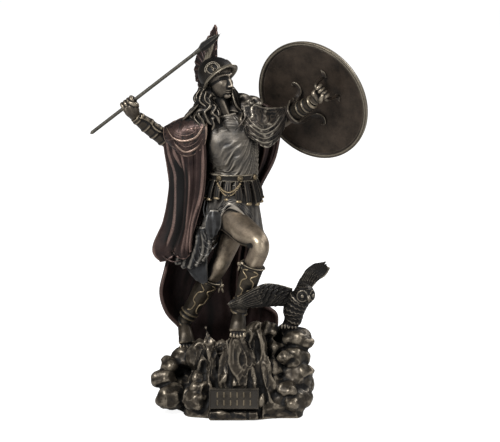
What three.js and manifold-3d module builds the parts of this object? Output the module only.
// A statuette of a helmeted goddess with spear, shield and owl, cast in bonded bronze.
// A three.js scene graph in millimetres, +Z up. The figure faces -Y.
// The origin is the middle of the flat underside of the rock.

import * as THREE from "three";
import { mergeVertices } from "three/addons/utils/BufferGeometryUtils.js";
import Module from "manifold-3d";

const wasm = await Module();
wasm.setup();

// Driving sizes

const STATURE = 260; // the figure's standing height, from which its pose and drapery follow
const FOOTING = 46; // height of the rock under the trailing foot
const CLEARANCE = 0.3; // gap between neighbouring castings
const FACET = 0.9; // largest step between a facet and the surface it stands for
const FINE_FACET = 0.3; // the same for hands, feet and the belt's ornaments
const ROCK_FACET = 1.5; // and for the rough rock
const CLOAK_THICKNESS = 2.6;
const ROCK_LEFT = 54; // from the origin to the rock's left, right, front and back at the ground
const ROCK_RIGHT = 67;
const ROCK_FRONT = 53;
const ROCK_BACK = 52;
const LEDGE_HEIGHT = 22; // the low block that all the boulders stand on
const PERCH_HEIGHT = 75; // top of the column of boulders under the owl
const TABLET_WIDTH = 43;
const TABLET_HEIGHT = 17.5;
const TABLET_DEPTH = 12;
const TABLET_LIFT = 10; // the tablet's lower edge above the ground
const TABLET_LEAN = 0.12;
const STROKES = 6; // upright strokes in each of the tablet's two rows
const STROKE_DEPTH = 0.7;
const SPEAR_LENGTH = 147;
const SPEAR_RADIUS = 1.6;
const SPEAR_GRIP = 44; // from the spear's butt to the middle of the fist
const BLADE_LENGTH = 31;
const BLADE_WIDTH = 8.4;
const SHIELD_RADIUS = 54.5;
const SHIELD_DISH = 7;
const SHIELD_THICKNESS = 2.6;
const SHIELD_RIM = 3.6;
const GRIP_RADIUS = 1.5;
const OWL_HEIGHT = 40; // from its claws to the top of its head

const BRONZE = { color: 0x6b5a41, roughness: 0.42, metalness: 0.85 };
const DARK_BRONZE = { color: 0x4a3f33, roughness: 0.5, metalness: 0.8 };

// The pose is given in 260ths of the stature, with z from the sole of the trailing foot.

const U = STATURE / 260;
const vec = (x, y, z) => new THREE.Vector3(x, y, z);
const at = (x, y, z) => vec(x * U, y * U, FOOTING + z * U);

const JOINT = {
  head: at(-13.5, 0, 246.5),
  rightShoulder: at(-25, 3, 203),
  rightElbow: at(-58, 13, 190),
  rightWrist: at(-86, 0, 213.5),
  rightFist: at(-91, -5, 225),
  leftShoulder: at(17, 1, 214),
  leftElbow: at(40, 17, 206),
  leftWrist: at(69, -9, 228),
  leftFist: at(75.5, -15, 236.1),
  leadHip: at(-6, -6, 127),
  leadKnee: at(22, -43, 107.5),
  leadAnkle: at(4.5, -36, 48),
  leadToe: at(3, -54, 28),
  trailHip: at(4, 7, 128),
  trailKnee: at(-11.5, 2, 85),
  trailAnkle: at(-44.5, 20, 27),
  trailToe: at(-41, 2, 5),
};

// Solids from three.js geometry

const solidOf = (geometry) => {
  const bare = geometry.clone();
  bare.deleteAttribute("normal");
  bare.deleteAttribute("uv");
  const merged = mergeVertices(bare, 1e-4);
  const made = new wasm.Manifold(
    new wasm.Mesh({
      numProp: 3,
      vertProperties: merged.attributes.position.array,
      triVerts: new Uint32Array(merged.index.array),
    }),
  );
  return made;
};

const fuse = (solids) => wasm.Manifold.union(solids);

const facet = (solids, step = FACET) => fuse(solids).asOriginal().simplify(step);

// The one body of a casting, without the bubbles that crossing folds shut in.
const casting = (solid) => solid.decompose().sort((a, b) => b.volume() - a.volume())[0];

const geometryOf = (solid) => {
  const mesh = solid.getMesh();
  return new THREE.BufferGeometry()
    .setAttribute("position", new THREE.BufferAttribute(mesh.vertProperties, 3))
    .setIndex(new THREE.BufferAttribute(mesh.triVerts, 1));
};

// Moves every vertex of a geometry by a function of its place.
const reshape = (geometry, move) => {
  const place = geometry.attributes.position;
  const point = vec(0, 0, 0);
  for (let i = 0; i < place.count; i++) {
    point.fromBufferAttribute(place, i);
    const moved = move(point);
    place.setXYZ(i, moved.x, moved.y, moved.z);
  }
  return geometry;
};

const smooth = (edge0, edge1, x) => THREE.MathUtils.smoothstep(x, edge0, edge1);

// A value along a list of stations, t from 0 to 1, rounded between them.
const along = (values, t) => {
  const place = Math.min(Math.max(t, 0), 1) * (values.length - 1);
  const i = Math.min(Math.floor(place), values.length - 2);
  const f = place - i;
  const blend = f * f * (3 - 2 * f);
  return values[i] * (1 - blend) + values[i + 1] * blend;
};

// A closed tube along a spine. Width runs beside the line of sight given by `facing`, and depth along it.
// The relief adds to the radius at an angle from the front and a share of the length.
const tube = ({
  spine,
  width,
  depth = width,
  sides = 12,
  rings = 6,
  facing = vec(0, -1, 0),
  relief = () => 0,
}) => {
  const curve = new THREE.CatmullRomCurve3(spine, false, "centripetal");
  const frames = new Map();
  const frameAt = (t) => {
    if (!frames.has(t)) {
      const tangent = curve.getTangent(t);
      const side = vec(0, 0, 0).crossVectors(facing, tangent).normalize();
      const front = vec(0, 0, 0).crossVectors(tangent, side).normalize();
      frames.set(t, { centre: curve.getPoint(t), side, front });
    }
    return frames.get(t);
  };
  const geometry = new THREE.CylinderGeometry(1, 1, 1, sides, rings);
  return solidOf(
    reshape(geometry, ({ x, y, z }) => {
      const t = y + 0.5;
      const { centre, side, front } = frameAt(t);
      const share = Math.hypot(x, z);
      const angle = Math.atan2(x, z);
      const more = share > 0 ? relief(angle, t) : 0;
      return centre
        .clone()
        .addScaledVector(side, -x * (along(width, t) + more))
        .addScaledVector(front, z * (along(depth, t) + more));
    }),
  );
};

// An egg: a sphere with its own three radii, turned and placed, with a relief along its rays.
const egg = ({ centre, radii, turn = [0, 0, 0], sides = 12, rings = 8, relief = () => 0 }) => {
  const spin = new THREE.Euler(...turn);
  const geometry = new THREE.SphereGeometry(1, sides, rings);
  return solidOf(
    reshape(geometry, (p) => {
      const grown = 1 + relief(p);
      return vec(p.x * radii[0] * grown, p.y * radii[1] * grown, p.z * radii[2] * grown)
        .applyEuler(spin)
        .add(centre);
    }),
  );
};

// A smooth surface through rows of places in the pose: u runs along a row, v from the first row to the last.
const surfaceThrough = (rows, place) => {
  const rowCurves = rows.map(
    (row) => new THREE.CatmullRomCurve3(row.map((point) => place(...point)), false, "centripetal"),
  );
  const columns = new Map();
  return (u, v) => {
    if (!columns.has(u)) {
      const points = rowCurves.map((curve) => curve.getPoint(u));
      columns.set(u, new THREE.CatmullRomCurve3(points, false, "centripetal"));
    }
    return columns.get(u).getPoint(v);
  };
};

// A sheet of cloth with a thickness over a surface, its folds pushed out along the normal.
const sheet = ({ rows, place = at, across, down, thickness, grow = 0, folds = () => 0 }) => {
  const surface = surfaceThrough(rows, place);
  const step = 1e-3;
  const clamp = (x) => Math.min(Math.max(x, step), 1 - step);
  const geometry = new THREE.BoxGeometry(1, 1, 1, across, down, 1);
  return solidOf(
    reshape(geometry, ({ x, y, z }) => {
      const u = x + 0.5;
      const v = 0.5 - y;
      const [cu, cv] = [clamp(u), clamp(v)];
      const alongRow = surface(cu + step, cv).sub(surface(cu - step, cv));
      const downward = surface(cu, cv + step).sub(surface(cu, cv - step));
      const normal = vec(0, 0, 0).crossVectors(downward, alongRow).normalize();
      const edge = alongRow.normalize().multiplyScalar(grow * Math.trunc(2 * x));
      const hem = downward.normalize().multiplyScalar(-grow * Math.trunc(2 * y));
      return surface(u, v)
        .addScaledVector(normal, z * (thickness + 2 * grow) + folds(u, v))
        .add(edge)
        .add(hem);
    }),
  );
};

// Head: skull and jaw with plain features, turned towards the shield

const HEAD_TURN = THREE.MathUtils.degToRad(48);
const onHead = (x, y, z) =>
  vec(x * U, y * U, z * U)
    .applyAxisAngle(vec(0, 0, 1), HEAD_TURN)
    .add(JOINT.head);

const headEgg = (centre, radii, more = {}) =>
  egg({ centre: onHead(...centre), radii: radii.map((r) => r * U), turn: [0, 0, HEAD_TURN], ...more });

const head = () => {
  const eyes = [-1, 1].map((side) =>
    headEgg([4.4 * side, -10.6, 2], [2.7, 1.8, 1.6], { sides: 6, rings: 4 }),
  );
  const nose = tube({
    spine: [onHead(0, -11.6, 4.4), onHead(0, -13.9, -1.6), onHead(0, -15.9, -5), onHead(0, -12, -6.2)],
    width: [0.9, 1.4, 2.3, 1.3].map((w) => w * U),
    sides: 5,
    rings: 4,
    facing: vec(0, -1, 0).applyAxisAngle(vec(0, 0, 1), HEAD_TURN),
  });
  return [
    headEgg([0, 1.5, 4], [12, 14, 13], { sides: 12, rings: 6 }),
    headEgg([0, -4.2, -5], [9.6, 9.4, 11.6], { sides: 12, rings: 7 }),
    headEgg([0, -10.4, -13.8], [3.8, 3.2, 2.9], { sides: 6, rings: 4 }),
    headEgg([0, -12.2, -9], [3.4, 1.8, 1.6], { sides: 6, rings: 4 }),
    nose,
    ...eyes,
  ];
};

// Helmet: a bowl with a turned-up brim, and a tall plume in its middle plane

const BRIM_TILT = THREE.MathUtils.degToRad(47);

const helmet = () => {
  const bowl = headEgg([0, 2.4, 4], [14.8, 17, 14.8], { sides: 15, rings: 8 });
  const brimNormal = onHead(0, Math.cos(BRIM_TILT), Math.sin(BRIM_TILT)).sub(JOINT.head).normalize();
  const brimPlace = onHead(0, -1.2, 2.4);
  const profile = [
    [12.6, -1.2],
    [16.9, -3],
    [18, -2],
    [15, 1.4],
    [12.6, 1.2],
  ].map(([r, z]) => new THREE.Vector2(r * U, z * U));
  const ring = new THREE.LatheGeometry([...profile, profile[0].clone()], 16)
    .rotateX(Math.PI / 2)
    .scale(0.92, 1.08, 1)
    .rotateX(BRIM_TILT - Math.PI / 2)
    .translate(0, -1.2 * U, 2.4 * U)
    .rotateZ(HEAD_TURN)
    .translate(...JOINT.head.toArray());
  return [bowl.trimByPlane(brimNormal.toArray(), brimNormal.dot(brimPlace)), solidOf(ring)];
};

const PLUME_TEETH = 12;
const PLUME_THICKNESS = 5.6;

const plume = () => {
  const outer = new THREE.CatmullRomCurve3(
    [
      [2.6, 18],
      [2, 30],
      [1.4, 41],
      [3.4, 47],
      [7, 42.5],
      [12, 36],
      [17.5, 30],
      [22.5, 22],
      [25, 11],
      [25.6, 1],
      [23, -6],
      [19.5, -11],
    ].map(([s, z]) => vec(s, z, 0)),
  );
  const outline = new THREE.Shape();
  outline.moveTo(14 * U, -8 * U);
  outline.lineTo(14 * U, 12 * U);
  const steps = PLUME_TEETH * 3;
  for (let i = 0; i <= steps; i++) {
    const { x, y } = outer.getPoint(i / steps);
    const notch = i % 3 === 0 && i > steps / 3 ? 0.93 : 1;
    outline.lineTo((10 + (x - 10) * notch) * U, (14 + (y - 14) * notch) * U);
  }
  const thickness = PLUME_THICKNESS * U;
  const plate = new THREE.ExtrudeGeometry(outline, { depth: thickness, bevelEnabled: false })
    .translate(0, 0, -thickness / 2)
    .applyMatrix4(new THREE.Matrix4().makeBasis(vec(0, 1, 0), vec(0, 0, 1), vec(1, 0, 0)))
    .rotateZ(HEAD_TURN)
    .translate(...JOINT.head.toArray());
  return [solidOf(plate)];
};

// Hair: a mass behind the neck and long waved locks falling on the shoulders

const lock = (points, thick) =>
  tube({
    spine: points.map((point) => at(...point)),
    width: [0.7, 1, 1, 0.9, 0.8, 0.4].map((share) => share * thick * U),
    sides: 5,
    rings: 6,
  });

const hair = () => [
  egg({ centre: at(-22, 6, 233), radii: [10 * U, 9 * U, 13 * U], turn: [0, 0.2, 0.4], sides: 9, rings: 5 }),
  egg({ centre: at(-20, 5, 219), radii: [15 * U, 9 * U, 11 * U], turn: [0, 0.5, 0], sides: 9, rings: 5 }),
  egg({ centre: at(2, 9, 221), radii: [15 * U, 8 * U, 10 * U], turn: [0, 0.1, 0], sides: 9, rings: 5 }),
  lock(
    [[-28, -4, 238], [-32, -4, 231], [-30, -5, 225], [-36, -5, 219], [-41, -6, 213], [-46, -6, 208]],
    3.4,
  ),
  lock(
    [[-26, -6, 236], [-29, -8, 228], [-24, -10, 220], [-31, -12, 212], [-27, -14, 205], [-25, -15, 198]],
    3.2,
  ),
  lock(
    [[-23, -7, 236], [-24, -10, 229], [-19, -12, 221], [-25, -14, 214], [-22, -16, 206], [-18, -17, 200]],
    3,
  ),
  lock(
    [[-19, -8, 235], [-21, -10, 228], [-15, -11, 220], [-18, -14, 213], [-14, -16, 207], [-12, -17, 201]],
    2.6,
  ),
];

// Tunic: a bloused bodice, a skirt parted by the striding thigh, and a tail of cloth beside the trailing leg

const bodiceFolds = (angle, t) => {
  const sweep = Math.sin(angle * 4 - t * 5.5 + 0.6);
  const fade = smooth(0, 0.12, t) * (1 - smooth(0.72, 0.95, t));
  const breast = [-0.62, 0.5].reduce(
    (sum, middle) => sum + 3.4 * Math.exp(-(((angle - middle) / 0.36) ** 2) - ((t - 0.63) / 0.14) ** 2),
    0,
  );
  return (sweep * 0.9 * fade + breast) * U;
};

const bodice = () =>
  tube({
    spine: [
      at(-0.5, 0, 151),
      at(0, 0, 158),
      at(1.4, 0, 167),
      at(-0.6, 0, 180),
      at(-3, 0.5, 192),
      at(-3.6, 1, 204),
      at(-6, 2, 215),
    ],
    width: [19.4, 19, 18.4, 20.8, 22.2, 22.4, 9].map((w) => w * U),
    depth: [13.4, 13.2, 13.8, 14.4, 14.2, 11.5, 8].map((d) => d * U),
    sides: 22,
    rings: 9,
    relief: bodiceFolds,
  });

const SKIRT_FOLDS = 11;

const skirtLength = (angle) => {
  const spread = angle < -0.05 ? 0.46 : 0.75;
  const overThigh = Math.exp(-(((angle + 0.05) / spread) ** 2));
  const trailing = 1 - smooth(-1.8, -0.9, angle);
  return 48 - 32 * overThigh + 12 * trailing;
};

const skirt = () => {
  const geometry = new THREE.CylinderGeometry(1, 1, 1, 33, 4);
  return solidOf(
    reshape(geometry, ({ x, y, z }) => {
      const drop = 0.5 - y;
      const share = Math.hypot(x, z);
      const angle = Math.atan2(x, z);
      const ripple = Math.sin(angle * SKIRT_FOLDS + 2 * drop) * 1.5 * drop;
      const flare = 18.5 + 8.5 * drop ** 0.8 + ripple;
      const left = 1 - smooth(-1.4, -0.2, angle);
      return at(
        x * (flare + 3.5 * left * drop) - 2.5 * drop,
        2 - z * (13.5 + 10 * drop ** 0.8 + ripple) - 2 * drop,
        156 - skirtLength(angle) * drop * (share > 0 ? 1 : 0.75),
      );
    }),
  );
};

const tail = () =>
  sheet({
    rows: [
      [[-22, -16, 118], [-28, -9, 117], [-33, 2, 117], [-34, 14, 118]],
      [[-20, -14, 100], [-29, -12, 99], [-36, -2, 100], [-41, 12, 102]],
      [[-27, -10, 84], [-34, -9, 82], [-42, 0, 83], [-50, 10, 86]],
      [[-36, -4, 66], [-42, -3, 70], [-50, 4, 74], [-57, 12, 79]],
    ],
    across: 12,
    down: 6,
    thickness: 2.4 * U,
    folds: (u, v) => Math.sin(u * Math.PI * 7) * (0.6 + 1.4 * v) * U,
  });

// Belt with round bosses, a chain swag, and strips of leather that hang from it

const STRIPS = 10;
const BELT_HEIGHT = 161;
const BOSS_ANGLES = [-0.62, 0.3, 1.15];

const beltPoint = (angle, out, z) =>
  at(-0.8 + Math.sin(angle) * (19.4 + out), -Math.cos(angle) * (14 + out), z);

const belt = () => {
  const band = tube({
    spine: [-3, 0, 3].map((z) => at(-0.8, 0, BELT_HEIGHT + z)),
    width: [20.2, 20.6, 20.2].map((w) => w * U),
    depth: [14.8, 15.2, 14.8].map((d) => d * U),
    sides: 18,
    rings: 2,
  });
  const bosses = BOSS_ANGLES.map((angle) =>
    egg({
      centre: beltPoint(angle, 1.6, BELT_HEIGHT),
      radii: [2.6 * U, 2.2 * U, 2.8 * U],
      sides: 6,
      rings: 4,
    }),
  );
  return [band, ...bosses];
};

const strips = () =>
  Array.from({ length: STRIPS }, (_, i) => {
    const angle = -1.75 + (3.5 * i) / (STRIPS - 1);
    const out = 2.4 + (i % 2) * 0.7;
    const reach = 15.5 + 5.5 * smooth(0.1, 0.5, angle) - 3 * smooth(1, 1.5, angle) + (i % 3);
    const top = beltPoint(angle, out - 1.6, BELT_HEIGHT - 2.5);
    const middle = beltPoint(angle, out + 1.8, BELT_HEIGHT - 2.5 - reach * 0.5);
    const foot = beltPoint(angle, out + 3.6, BELT_HEIGHT - 2.5 - reach);
    return tube({
      spine: [top, middle, foot],
      width: [2, 2.5, 2.2].map((w) => w * U),
      depth: [1.1, 1.3, 1.6].map((d) => d * U),
      sides: 4,
      rings: 2,
      facing: vec(Math.sin(angle), -Math.cos(angle), 0),
    });
  });

const swag = () => {
  const count = 7;
  const spine = Array.from({ length: count }, (_, i) => {
    const share = i / (count - 1);
    const angle = THREE.MathUtils.lerp(BOSS_ANGLES[0], BOSS_ANGLES[1], share);
    return beltPoint(angle, 5.2, BELT_HEIGHT - 2.5 - 12 * Math.sin(Math.PI * share) ** 0.8);
  });
  return tube({ spine, width: [1, 1, 1].map((w) => w * U), sides: 5, rings: 8 });
};

// Legs: bare thighs and knees, tall open-toed boots with a flared cuff, feet with toes

const shinAxis = (knee, ankle, share) => knee.clone().lerp(ankle, share);

const leg = ({ hip, knee, ankle, thighWidth, cuffAt }) => {
  const kneecap = knee.clone().add(vec(0, -1.2 * U, 0.5 * U));
  const calf = shinAxis(knee, ankle, 0.35).add(vec(0, 2.4 * U, 0));
  const thigh = tube({
    spine: [hip, hip.clone().lerp(knee, 0.5), kneecap, calf, shinAxis(knee, ankle, 0.7)],
    width: [thighWidth, thighWidth * 0.92, 8.8, 8, 6].map((w) => w * U),
    depth: [thighWidth, thighWidth * 0.95, 9, 9, 6].map((d) => d * U),
    sides: 10,
    rings: 6,
  });
  const bootStations = [cuffAt, cuffAt + 0.06, cuffAt + 0.22, 0.72, 0.95, 1.04];
  const boot = tube({
    spine: bootStations.map((share, i) => shinAxis(knee, ankle, share).add(vec(0, i < 4 ? 1.4 * U : 0, 0))),
    width: [10.6, 9.6, 9, 7.6, 6.2, 6.4].map((w) => w * U),
    depth: [11.2, 10.4, 10, 8, 6.4, 6.6].map((d) => d * U),
    sides: 10,
    rings: 8,
    relief: (angle, t) => (t > 0.7 && Math.round(t * 8) % 2 === 1 ? 1.2 * U : 0),
  });
  return [thigh, boot];
};

const foot = (ankle, toe, grow = 0) => {
  const forward = toe.clone().sub(ankle).normalize();
  const flat = vec(forward.x, forward.y, 0).normalize();
  const side = vec(-flat.y, flat.x, 0);
  const heel = ankle
    .clone()
    .addScaledVector(flat, -3.5 * U - grow)
    .add(vec(0, 0, -5.5 * U));
  const instep = ankle.clone().lerp(toe, 0.5).add(vec(0, 0, 1.2 * U));
  const ball = ankle.clone().lerp(toe, 0.82);
  const body = tube({
    spine: [
      heel,
      ankle.clone().lerp(toe, 0.12).add(vec(0, 0, -3 * U)),
      instep,
      ball.clone().addScaledVector(forward, grow),
    ],
    width: [4, 5.8, 6.6, 7.4].map((w) => w * U + grow),
    depth: [5, 6.6, 5.2, 3.6].map((d) => d * U + grow),
    sides: 8,
    rings: 4,
    facing: vec(0, 0, 1),
  });
  const toes = [-2, -1, 0, 1, 2].map((i) => {
    const root = ball.clone().addScaledVector(side, i * 2.7 * U);
    const reach = toe
      .clone()
      .addScaledVector(side, i * 2.9 * U)
      .addScaledVector(flat, -Math.abs(i) * 0.9 * U)
      .addScaledVector(forward, grow);
    return tube({
      spine: [root, root.clone().lerp(reach, 0.6), reach],
      width: [1.5, 1.6, 1.1].map((w) => w * U + grow),
      sides: 4,
      rings: 2,
      facing: vec(0, 0, 1),
    });
  });
  return [body, ...toes];
};

const legs = () => [
  ...leg({
    hip: JOINT.leadHip,
    knee: JOINT.leadKnee,
    ankle: JOINT.leadAnkle,
    thighWidth: 13,
    cuffAt: 0.3,
  }),
  ...leg({
    hip: JOINT.trailHip,
    knee: JOINT.trailKnee,
    ankle: JOINT.trailAnkle,
    thighWidth: 12,
    cuffAt: 0.26,
  }),
];

const feet = (grow = 0) => [
  ...foot(JOINT.leadAnkle, JOINT.leadToe, grow),
  ...foot(JOINT.trailAnkle, JOINT.trailToe, grow),
];

// Arms: ringed bracers on the forearms, and fists closed on the spear and the shield's grip

const BRACER_RINGS = 4;

const forearm = (elbow, wrist) => {
  const rings = BRACER_RINGS * 2 + 3;
  return tube({
    spine: [elbow.clone().lerp(wrist, -0.2), elbow, elbow.clone().lerp(wrist, 0.5), wrist],
    width: [4.6, 6.6, 6.6, 5].map((w) => w * U),
    sides: 9,
    rings,
    facing: vec(0, -1, 0.2),
    relief: (angle, t) => (Math.round(t * rings) % 2 === 0 && t > 0.3 ? 0.9 * U : 0),
  });
};

// Four fingers bent round a bar, the thumb across them, and the palm beside it.
const fist = ({ centre, bar, wrist, barRadius }) => {
  const palmSide = wrist.clone().sub(centre);
  const towards = palmSide.clone().addScaledVector(bar, -palmSide.dot(bar)).normalize();
  const third = vec(0, 0, 0).crossVectors(bar, towards);
  const around = (angle, r, slide) =>
    centre
      .clone()
      .addScaledVector(towards, Math.cos(angle) * r)
      .addScaledVector(third, Math.sin(angle) * r)
      .addScaledVector(bar, slide);
  const r = barRadius + 2.1 * U;
  const fingers = [-1.5, -0.5, 0.5, 1.5].map((i) =>
    tube({
      spine: [0.5, 1.5, 2.6, 3.7, 4.7].map((angle) => around(angle, r, i * 3.3 * U)),
      width: [2, 1.95, 1.8, 1.5].map((w) => w * U),
      sides: 4,
      rings: 4,
      facing: bar,
    }),
  );
  const thumb = tube({
    spine: [
      around(-0.5, r + 1.4 * U, 5.4 * U),
      around(-1.5, r + 1.4 * U, 4.4 * U),
      around(-2.4, r + 1.6 * U, 1.6 * U),
    ],
    width: [2.2, 2, 1.4].map((w) => w * U),
    sides: 4,
    rings: 3,
    facing: bar,
  });
  const palm = tube({
    spine: [-6.4, -3, 3, 6.4].map((slide) => around(0, r + 1.2 * U, slide * U)),
    width: [3.4, 5, 5, 3.4].map((w) => w * U),
    depth: [2.6, 3.2, 3.2, 2.6].map((w) => w * U),
    sides: 6,
    rings: 3,
    facing: towards,
  });
  const back = tube({
    spine: [wrist, wrist.clone().lerp(around(0, r + 1.2 * U, 0), 0.5), around(0, r + 0.6 * U, 0)],
    width: [4.8, 5, 5.4].map((w) => w * U),
    depth: [4.2, 3.8, 3].map((w) => w * U),
    sides: 6,
    rings: 2,
    facing: third,
  });
  return [...fingers, thumb, palm, back];
};

const SPEAR_AIM = vec(115.7, -18, 91.5).normalize();

// Shield: its inner face looks down and back at the figure, and the grip lies across the left fist

const SHIELD_INWARD = vec(-0.52, -0.811, -0.263).normalize();
const SHIELD_RIGHT = vec(0.594, -0.569, 0.567).projectOnPlane(SHIELD_INWARD).normalize();
const SHIELD_UP = vec(0, 0, 0).crossVectors(SHIELD_INWARD, SHIELD_RIGHT).negate();
const GRIP_STANDOFF = 12 * U;
const GRIP_OFFSET = 22.5 * U; // the fist lies this far out from the shield's middle
const GRIP_SPAN = 33 * U;
const SHIELD_CENTRE = JOINT.leftFist
  .clone()
  .addScaledVector(SHIELD_INWARD, -GRIP_STANDOFF)
  .addScaledVector(SHIELD_RIGHT, -GRIP_OFFSET);
const GRIP_AIM = SHIELD_UP.clone();

const arms = () => {
  const upper = (shoulder, elbow) =>
    tube({
      spine: [shoulder, shoulder.clone().lerp(elbow, 0.5), elbow.clone().lerp(shoulder, -0.05)],
      width: [9.5, 8.4, 6.6].map((w) => w * U),
      sides: 9,
      rings: 3,
    });
  return [
    upper(JOINT.rightShoulder, JOINT.rightElbow),
    upper(JOINT.leftShoulder, JOINT.leftElbow),
    forearm(JOINT.rightElbow, JOINT.rightWrist),
    forearm(JOINT.leftElbow, JOINT.leftWrist),
  ];
};

const fists = () => [
  ...fist({ centre: JOINT.rightFist, bar: SPEAR_AIM, wrist: JOINT.rightWrist, barRadius: SPEAR_RADIUS }),
  ...fist({ centre: JOINT.leftFist, bar: GRIP_AIM, wrist: JOINT.leftWrist, barRadius: GRIP_RADIUS }),
];

// Sleeves: cloth looped over each upper arm, hanging below it in swags

const sleeve = (rows, loops) =>
  sheet({
    rows,
    across: 8,
    down: 9,
    thickness: 2.6 * U,
    folds: (u, v) => Math.sin(v * Math.PI * loops) * 1.5 * Math.sin(Math.PI * u) * U,
  });

const sleeves = () => [
  egg({ centre: at(-42, 6, 196), radii: [19 * U, 9 * U, 10 * U], turn: [0, 0.3, 0], sides: 9, rings: 5 }),
  sleeve(
    [
      [[-61, 6, 203], [-52, 2, 208.5], [-43, 0, 213], [-33, -2, 216], [-24, -6, 216]],
      [[-61, 1, 198], [-54, -7, 200], [-43, -11, 203], [-33, -12, 206], [-23, -13, 209]],
      [[-59, 0, 193], [-52, -9, 190], [-43, -13, 189], [-33, -14, 192], [-23, -15, 201]],
      [[-55, 1, 190], [-49, -8, 184], [-42, -11, 180], [-33, -12, 182], [-25, -13, 192]],
    ],
    5,
  ),
  egg({ centre: at(26, 4, 209), radii: [16 * U, 10 * U, 11 * U], turn: [0, 0.1, 0], sides: 9, rings: 5 }),
  egg({ centre: at(8, 4, 221), radii: [14 * U, 9 * U, 7 * U], turn: [0, -0.2, 0], sides: 9, rings: 5 }),
  sleeve(
    [
      [[10, -5, 223], [17, -6, 225], [26, -5, 222], [36, 0, 221], [45, 6, 221]],
      [[12, -13, 215], [19, -14, 213], [27, -13, 210], [36, -7, 211], [46, 2, 217]],
      [[13, -15, 207], [19, -15, 202], [27, -14, 197], [35, -8, 199], [45, 2, 211]],
      [[14, -13, 199], [20, -13, 194], [27, -11, 188], [34, -6, 190], [43, 3, 203]],
    ],
    5,
  ),
];

// Cloak: a curtain from the right arm round the right side, and a broad back that reaches the rock

const CURTAIN_FOLDS = 6;
const BACK_FOLDS = 7;

const cloak = (grow = 0) => [
  sheet({
    rows: [
      [[-27, -12, 208], [-39, -10, 205], [-53, -2, 199], [-57, 10, 196], [-42, 22, 200], [-18, 20, 206]],
      [[-25, -13, 173], [-37, -8, 172], [-49, -4, 171], [-54, 9, 171], [-42, 26, 174], [-18, 27, 178]],
      [[-27, -13, 147], [-38, -8, 147], [-48, -5, 147], [-52.5, 9, 148], [-43, 28, 148], [-18, 30, 150]],
      [[-34, -12, 120], [-42, -9, 119], [-52, -6, 118], [-57.5, 9, 119], [-46, 28, 120], [-18, 33, 124]],
      [[-38, -9, 104], [-48, -9, 96], [-60, -6, 93], [-67, 8, 94], [-52, 27, 96], [-20, 36, 100]],
      [[-39, -6, 97], [-47, -6, 88], [-58, -3, 85], [-66, 7, 87], [-51, 25, 90], [-20, 35, 94]],
    ],
    across: 23,
    down: 7,
    thickness: CLOAK_THICKNESS,
    grow,
    folds: (u, v) => Math.sin(u * Math.PI * 2 * CURTAIN_FOLDS + 1) * (0.8 + 1.6 * v) * U,
  }),
  sheet({
    rows: [
      [[-36, 14, 209], [-20, 16, 216], [-2, 15, 221], [16, 12, 224], [30, 10, 222], [43, 12, 212]],
      [[-44, 18, 176], [-24, 24, 176], [-4, 25, 176], [14, 23, 176], [26, 19, 176], [37, 14, 176]],
      [[-48, 20, 143], [-26, 29, 143], [-6, 30, 143], [8, 28, 143], [16, 24, 143], [21, 18, 143]],
      [[-54, 18, 106], [-34, 32, 104], [-10, 37, 102], [4, 35, 102], [13, 31, 102], [18, 25, 102]],
      [[-61, 9, 76], [-46, 32, 72], [-14, 41, 72], [2, 40, 72], [11, 36, 72], [16, 28, 72]],
      [[-65, 5, 56], [-48, 32, 52], [-16, 43, 52], [4, 42, 50], [17, 38, 46], [24, 30, 43]],
      [[-60, 7, 38], [-46, 32, 35], [-14, 44, 34], [8, 44, 34], [26, 41, 34], [39, 33, 36]],
      [[-47, 15, 21], [-40, 31, 19], [-12, 44, 18], [10, 45, 18], [28, 42, 19], [39, 34, 24]],
      [[-40, 24, 0], [-34, 35, -4], [-10, 44, -8], [10, 45, -8], [26, 43, -4], [36, 36, 4]],
    ],
    across: 24,
    down: 9,
    thickness: CLOAK_THICKNESS,
    grow,
    folds: (u, v) => Math.sin(u * Math.PI * 2 * BACK_FOLDS) * (0.5 + 1.4 * v) * Math.sin(Math.PI * u) * U,
  }),
];

// Figure: one casting of body, dress, armour and cloak, with holes for the spear and the grip

const bar = (from, to, radius, sides = 12) => {
  const reach = to.clone().sub(from);
  const geometry = new THREE.CylinderGeometry(radius, radius, reach.length(), sides)
    .applyQuaternion(new THREE.Quaternion().setFromUnitVectors(vec(0, 1, 0), reach.normalize()))
    .translate(...from.clone().lerp(to, 0.5).toArray());
  return solidOf(geometry);
};

const SPEAR_BUTT = JOINT.rightFist.clone().addScaledVector(SPEAR_AIM, -SPEAR_GRIP);
const SPEAR_TIP = SPEAR_BUTT.clone().addScaledVector(SPEAR_AIM, SPEAR_LENGTH);

const figure = () => {
  const neck = tube({
    spine: [at(-5, 3, 206), at(-8, 2, 216), at(-13, 1, 232)],
    width: [8.5, 6.6, 6.4].map((w) => w * U),
    sides: 12,
    rings: 4,
  });
  const whole = facet([
    neck,
    ...head(),
    ...helmet(),
    ...plume(),
    ...hair(),
    bodice(),
    skirt(),
    tail(),
    ...legs(),
    ...arms(),
    ...sleeves(),
    ...cloak(),
  ]);
  const holes = [bar(SPEAR_BUTT, SPEAR_TIP, SPEAR_RADIUS + CLEARANCE), shieldGrip(CLEARANCE)];
  const crisp = facet([...belt(), ...strips(), swag(), ...fists()], FINE_FACET);
  return fuse([whole, crisp, ...feet()]).subtract(fuse(holes));
};

// Spear: a round shaft and a leaf blade with a midrib

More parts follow.
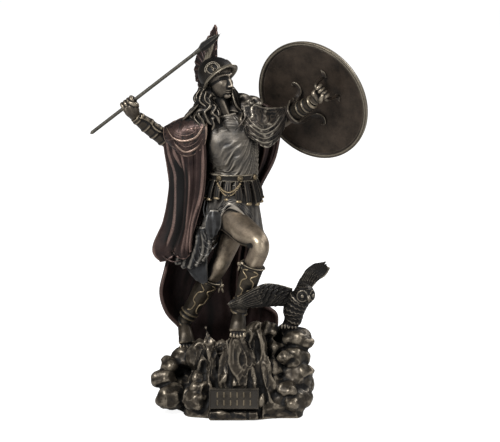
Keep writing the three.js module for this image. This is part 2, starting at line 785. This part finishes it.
const spear = () => {
  const shaftEnd = SPEAR_TIP.clone().addScaledVector(SPEAR_AIM, -BLADE_LENGTH + 3);
  const shaft = bar(SPEAR_BUTT, shaftEnd, SPEAR_RADIUS);
  const across = vec(0, 0, 0).crossVectors(SPEAR_AIM, vec(0, -1, 0)).normalize();
  const half = BLADE_WIDTH / 2;
  const bladeRoot = SPEAR_TIP.clone().addScaledVector(SPEAR_AIM, -BLADE_LENGTH);
  const blade = tube({
    spine: [bladeRoot, bladeRoot.clone().lerp(SPEAR_TIP, 0.5), SPEAR_TIP],
    width: [SPEAR_RADIUS, SPEAR_RADIUS * 1.25, half, half * 0.9, half * 0.62, 0.25],
    depth: [SPEAR_RADIUS * 1.15, SPEAR_RADIUS * 1.2, 1.5, 1.3, 0.9, 0.25],
    sides: 8,
    rings: 10,
    facing: vec(0, 0, 0).crossVectors(across, SPEAR_AIM),
  });
  return facet([shaft, blade], 0.1);
};

// Shield: a dished disc with a rounded rim and ringed boss, an arm band and a grip on its inner side

const dishAt = (r) => -SHIELD_DISH * (1 - (r / SHIELD_RADIUS) ** 2);

const shieldDisc = () => {
  const inner = [0, 0.45, 0.8].map((share) => [share * SHIELD_RADIUS, dishAt(share * SHIELD_RADIUS)]);
  const rim = [
    [SHIELD_RADIUS - SHIELD_RIM, dishAt(SHIELD_RADIUS - SHIELD_RIM) + 0.9],
    [SHIELD_RADIUS - 1, 0.9],
    [SHIELD_RADIUS, -SHIELD_THICKNESS / 2],
    [SHIELD_RADIUS - SHIELD_RIM, -SHIELD_THICKNESS - 1.4],
  ];
  const raised = [0.68, 0.17, 0.1];
  const outer = [0.72, 0.68, 0.64, 0.2, 0.17, 0.1, 0].map((share) => [
    share * SHIELD_RADIUS,
    dishAt(share * SHIELD_RADIUS) - SHIELD_THICKNESS - (raised.includes(share) ? 1.2 : 0),
  ]);
  const profile = [...inner, ...rim, ...outer].map(([r, z]) => new THREE.Vector2(r, z));
  const basis = new THREE.Matrix4()
    .makeBasis(SHIELD_RIGHT, SHIELD_INWARD, vec(0, 0, 0).crossVectors(SHIELD_RIGHT, SHIELD_INWARD))
    .setPosition(SHIELD_CENTRE);
  return solidOf(new THREE.LatheGeometry(profile.reverse(), 28).applyMatrix4(basis));
};

// The point of the shield's inner face that lies straight behind a place.
const ontoDish = (place) => {
  const local = place.clone().sub(SHIELD_CENTRE);
  const r = Math.hypot(local.dot(SHIELD_RIGHT), local.dot(SHIELD_UP));
  return place.clone().addScaledVector(SHIELD_INWARD, dishAt(r) - 0.5 - local.dot(SHIELD_INWARD));
};

const shieldGrip = (grow = 0) => {
  const end = (share) => JOINT.leftFist.clone().addScaledVector(GRIP_AIM, (share * GRIP_SPAN) / 2);
  return tube({
    spine: [ontoDish(end(-1.15)), end(-0.78), end(-0.4), end(0.4), end(0.78), ontoDish(end(1.15))],
    width: [GRIP_RADIUS + grow, GRIP_RADIUS + grow],
    sides: 6,
    rings: 9,
    facing: vec(0, 0, 0).crossVectors(SHIELD_INWARD, GRIP_AIM),
  });
};

const shieldBand = () => {
  const middle = JOINT.leftElbow.clone().lerp(JOINT.leftWrist, 0.45);
  const armAim = JOINT.leftWrist.clone().sub(JOINT.leftElbow).normalize();
  const out = SHIELD_INWARD.clone().projectOnPlane(armAim).normalize();
  const side = vec(0, 0, 0).crossVectors(armAim, out);
  const radius = 8.6 * U + CLEARANCE + 1.2;
  const arch = [-80, -40, 0, 40, 80].map((degrees) => {
    const turn = THREE.MathUtils.degToRad(degrees);
    return middle
      .clone()
      .addScaledVector(out, Math.cos(turn) * radius)
      .addScaledVector(side, Math.sin(turn) * radius);
  });
  const ends = [-1, 1].map((sign) => ontoDish(middle.clone().addScaledVector(side, sign * (radius + 4 * U))));
  return tube({
    spine: [ends[0], ...arch, ends[1]],
    width: [2.6, 2.4, 2.4, 2.4, 2.6].map((w) => w * U),
    depth: [1.2, 1.1, 1.1, 1.1, 1.2].map((d) => d * U),
    sides: 6,
    rings: 9,
    facing: armAim,
  });
};

const shield = () => fuse([shieldDisc(), shieldBand(), shieldGrip()]);

// Owl: perched on the right-hand column with both wings spread, one in front of the leading boot

const OWL = OWL_HEIGHT / 40;
const OWL_FEET = vec(47, -14, PERCH_HEIGHT);
const onOwl = (x, y, z) => vec(x * OWL, y * OWL, z * OWL).add(OWL_FEET);

const owlEgg = (centre, radii, turn, sides, rings) =>
  egg({ centre: onOwl(...centre), radii: radii.map((r) => r * OWL), turn: [0, 0, turn], sides, rings });

const wing = (rows, across, folds) =>
  sheet({
    rows,
    place: onOwl,
    across,
    down: 9,
    thickness: 2.4 * OWL,
    folds: (u, v) => folds(u, v) * OWL,
  });

const owlBody = (grow = 0) =>
  tube({
    spine: [
      onOwl(-3, 3, -7).add(vec(0, 0, -grow)),
      onOwl(0, 1, 1),
      onOwl(4.5, -1, 8),
      onOwl(5.5, -2, 16),
      onOwl(10, -4, 26),
      onOwl(13, -6, 31),
    ],
    width: [2.2, 5, 8, 9.4, 9.6, 6].map((w) => w * OWL + grow),
    depth: [2, 4.4, 7.4, 9, 9, 6].map((d) => d * OWL + grow),
    sides: 10,
    rings: 7,
  });

const owlClaws = (grow = 0) =>
  [-2.5, 4].map((x) =>
    egg({ centre: onOwl(x, -3, 1), radii: [3, 5, 3].map((r) => r * OWL + grow), sides: 7, rings: 4 }),
  );

const owl = () => {
  const low = wing(
    [
      [[4, -1, 35], [3, -3, 28], [2, -3, 23], [2, -1, 19]],
      [[-10, -10, 40.5], [-10, -13, 33], [-10, -13, 26], [-10, -10, 21]],
      [[-22, -25, 43.5], [-22, -28, 37], [-22, -26, 29], [-21, -21, 22.6]],
      [[-33, -36, 40], [-34, -39, 35], [-34, -37, 29], [-33, -33, 24.5]],
      [[-44, -45, 34], [-45, -47, 31], [-46, -45, 28], [-46, -42, 25.5]],
      [[-51, -47.5, 30], [-52, -48, 29], [-52, -47, 28], [-51, -46, 27]],
    ],
    12,
    (u, v) => Math.sin(u * Math.PI * 5) * 0.7 * smooth(0.2, 0.6, v),
  );
  const high = wing(
    [
      [[5, 0, 29], [12, 1, 31], [19, 0, 33]],
      [[13, 9, 45], [19, 11, 43], [27, 8, 40.5]],
      [[19, 15, 50], [25, 17, 48], [33, 13, 43.5]],
      [[27, 20, 54.5], [34, 21, 53.5], [39, 20, 51.5]],
    ],
    9,
    (u, v) => Math.sin(u * Math.PI * 4) * 0.8,
  );
  const face = [
    owlEgg([14, -6, 30.5], [9.4, 8.8, 9.4], 0, 12, 8),
    owlEgg([13, -12.6, 30.5], [5.6, 3, 6], -0.1, 9, 5),
    owlEgg([20, -9.5, 30.5], [4, 3, 5], 0.9, 8, 5),
  ];
  const beak = tube({
    spine: [onOwl(17, -12, 31), onOwl(18.4, -15.5, 28), onOwl(18.4, -15.8, 25.4)],
    width: [2.2, 1.6, 0.4].map((w) => w * OWL),
    sides: 5,
    rings: 3,
  });
  return facet([owlBody(), ...owlClaws(), ...face, beak, low, high]);
};

// Rock: a low block, piles of boulders, upright crags under the feet, and the tablet in front

let seed = 7;
const chance = () => {
  seed = (seed * 16807) % 2147483647;
  return seed / 2147483647;
};

const boulder = (centre, size, squash) => {
  const phase = chance() * 6;
  return egg({
    centre,
    radii: [size, size * (0.85 + 0.25 * chance()), size * squash],
    turn: [0.6 * chance() - 0.3, 0.6 * chance() - 0.3, chance() * 3],
    sides: 7,
    rings: 4,
    relief: ({ x, y, z }) =>
      0.09 * Math.sin(x * 3 + phase) * Math.cos(y * 4 - phase) + 0.06 * Math.sin(z * 5 + phase),
  });
};

// Boulders stacked from one place to another, from the largest to the smallest.
const pile = (from, to, count, largest, smallest, squash = 0.75) =>
  Array.from({ length: count }, (_, i) => {
    const share = count > 1 ? i / (count - 1) : 0;
    const sway = vec(3 * Math.sin(i * 2.3), 3 * Math.cos(i * 1.7), 0).multiplyScalar(share * (1 - share) * 2);
    const size = THREE.MathUtils.lerp(largest, smallest, share);
    return boulder(from.clone().lerp(to, share).add(sway), size, squash);
  });

// An upright crag: a narrow leaning wedge that comes to an edge.
const crag = (from, to, wide, deep) =>
  tube({
    spine: [from, from.clone().lerp(to, 0.5), to],
    width: [wide, wide * 0.8, wide * 0.35],
    depth: [deep, deep * 0.75, deep * 0.3],
    sides: 6,
    rings: 2,
    relief: (angle, t) => Math.sin(angle * 3 + t * 4) * wide * 0.14,
  });

const ledge = () =>
  solidOf(
    reshape(new THREE.CylinderGeometry(1, 1, 1, 26, 2), ({ x, y, z }) => {
      const angle = Math.atan2(z, x);
      const swell = 1 + 0.03 * Math.sin(angle * 7 + y * 5) + 0.02 * Math.sin(angle * 11);
      const bow = 1 - 0.16 * (y + 0.5) ** 2;
      const wide = x > 0 ? ROCK_RIGHT : ROCK_LEFT;
      const deep = z > 0 ? ROCK_FRONT : ROCK_BACK;
      const squareness = x > 0 ? 0.55 : 0.1;
      const square = Math.max(Math.abs(Math.cos(angle)), Math.abs(Math.sin(angle))) ** -squareness;
      const reach = swell * bow * square * 0.95;
      return vec(x * wide * reach, -z * deep * reach, (y + 0.5) * LEDGE_HEIGHT);
    }),
  );

const onTablet = (geometry) =>
  solidOf(
    geometry
      .rotateX(-TABLET_LEAN)
      .translate(0, TABLET_DEPTH / 2 - ROCK_FRONT + 0.5, TABLET_LIFT + TABLET_HEIGHT / 2),
  );

const tabletStrokes = () => {
  const pitch = (TABLET_WIDTH * 0.8) / STROKES;
  return Array.from({ length: STROKES }, (_, i) =>
    [-0.2, 0.2].map((row) =>
      onTablet(
        new THREE.BoxGeometry(pitch * 0.3, STROKE_DEPTH * 2, TABLET_HEIGHT * 0.26).translate(
          (i - (STROKES - 1) / 2) * pitch,
          -TABLET_DEPTH / 2,
          row * TABLET_HEIGHT,
        ),
      ),
    ),
  ).flat();
};

const rock = () => {
  const frontPad = JOINT.leadToe.clone().lerp(JOINT.leadAnkle, 0.3);
  const rearPad = JOINT.trailToe.clone().lerp(JOINT.trailAnkle, 0.35);
  const underFeet = [
    crag(vec(6, -34, 12), vec(frontPad.x, frontPad.y - 2, frontPad.z - 6 * U), 20, 17),
    crag(vec(12, -30, 12), vec(frontPad.x + 2, frontPad.y + 12, frontPad.z - 2 * U), 20, 17),
    ...pile(vec(-44, 4, 18), vec(rearPad.x, rearPad.y, rearPad.z - 15 * U), 2, 17, 14),
  ];
  const stones = [
    ...pile(vec(ROCK_RIGHT - 15, -26, 16), vec(ROCK_RIGHT - 12, -14, PERCH_HEIGHT - 9), 4, 16.5, 12.5),
    ...pile(vec(ROCK_RIGHT - 18, 6, 20), vec(ROCK_RIGHT - 20, 2, PERCH_HEIGHT - 14), 2, 20, 15, 1),
    ...pile(vec(36, -34, 12), vec(32, -14, PERCH_HEIGHT - 2), 5, 13, 9),
    ...pile(vec(-55, -22, 14), vec(-57, -5, 39), 2, 14.5, 9),
    ...pile(vec(-62.5, -11, 28), vec(-50, 16, 30), 2, 11, 14),
    ...pile(vec(-32, -37, 15), vec(-31, -30, 34), 3, 12, 7),
    ...pile(vec(-38, 33, 17), vec(44, 34, 20), 4, 18, 20),
    ...pile(vec(-10, 8, 34), vec(22, 14, 60), 2, 24, 17),
  ];
  const crags = [
    crag(vec(-26, -30, 14), vec(-22, -10, 71), 12, 10),
    crag(vec(-14, -34, 14), vec(-9, -34, 62), 9, 9),
    crag(vec(-34, -22, 14), vec(-27, -16, 58), 10, 8),
    crag(vec(26, -38, 14), vec(23, -30, 80), 11, 10),
    crag(vec(16, -42, 14), vec(15, -42, 58), 9, 8),
    crag(vec(-8, -12, 16), vec(-8, -10, 62), 20, 18),
    crag(vec(20, 0, 16), vec(24, -4, 78), 18, 14),
  ];
  const tablet = onTablet(new THREE.BoxGeometry(TABLET_WIDTH, TABLET_DEPTH, TABLET_HEIGHT));
  const room = CLEARANCE + FACET + FINE_FACET;
  const seats = [
    facet(feet(2 * CLEARANCE + FINE_FACET), FINE_FACET),
    facet([...cloak(room), ...owlClaws(room), owlBody(room)], FINE_FACET),
    ...tabletStrokes(),
  ];
  return facet([ledge(), ...underFeet, ...stones, ...crags, tablet], ROCK_FACET)
    .trimByPlane([0, 0, 1], 0)
    .subtract(fuse(seats));
};

// The assembly

const statue = new THREE.Group();

const add = (name, solid, finish) => {
  const mesh = new THREE.Mesh(geometryOf(casting(solid)), new THREE.MeshStandardMaterial(finish));
  mesh.name = name;
  statue.add(mesh);
};

add("figure", figure(), BRONZE);
add("spear", spear(), BRONZE);
add("shield", shield(), DARK_BRONZE);
add("owl", owl(), DARK_BRONZE);
add("rock_base", rock(), BRONZE);

export default statue;
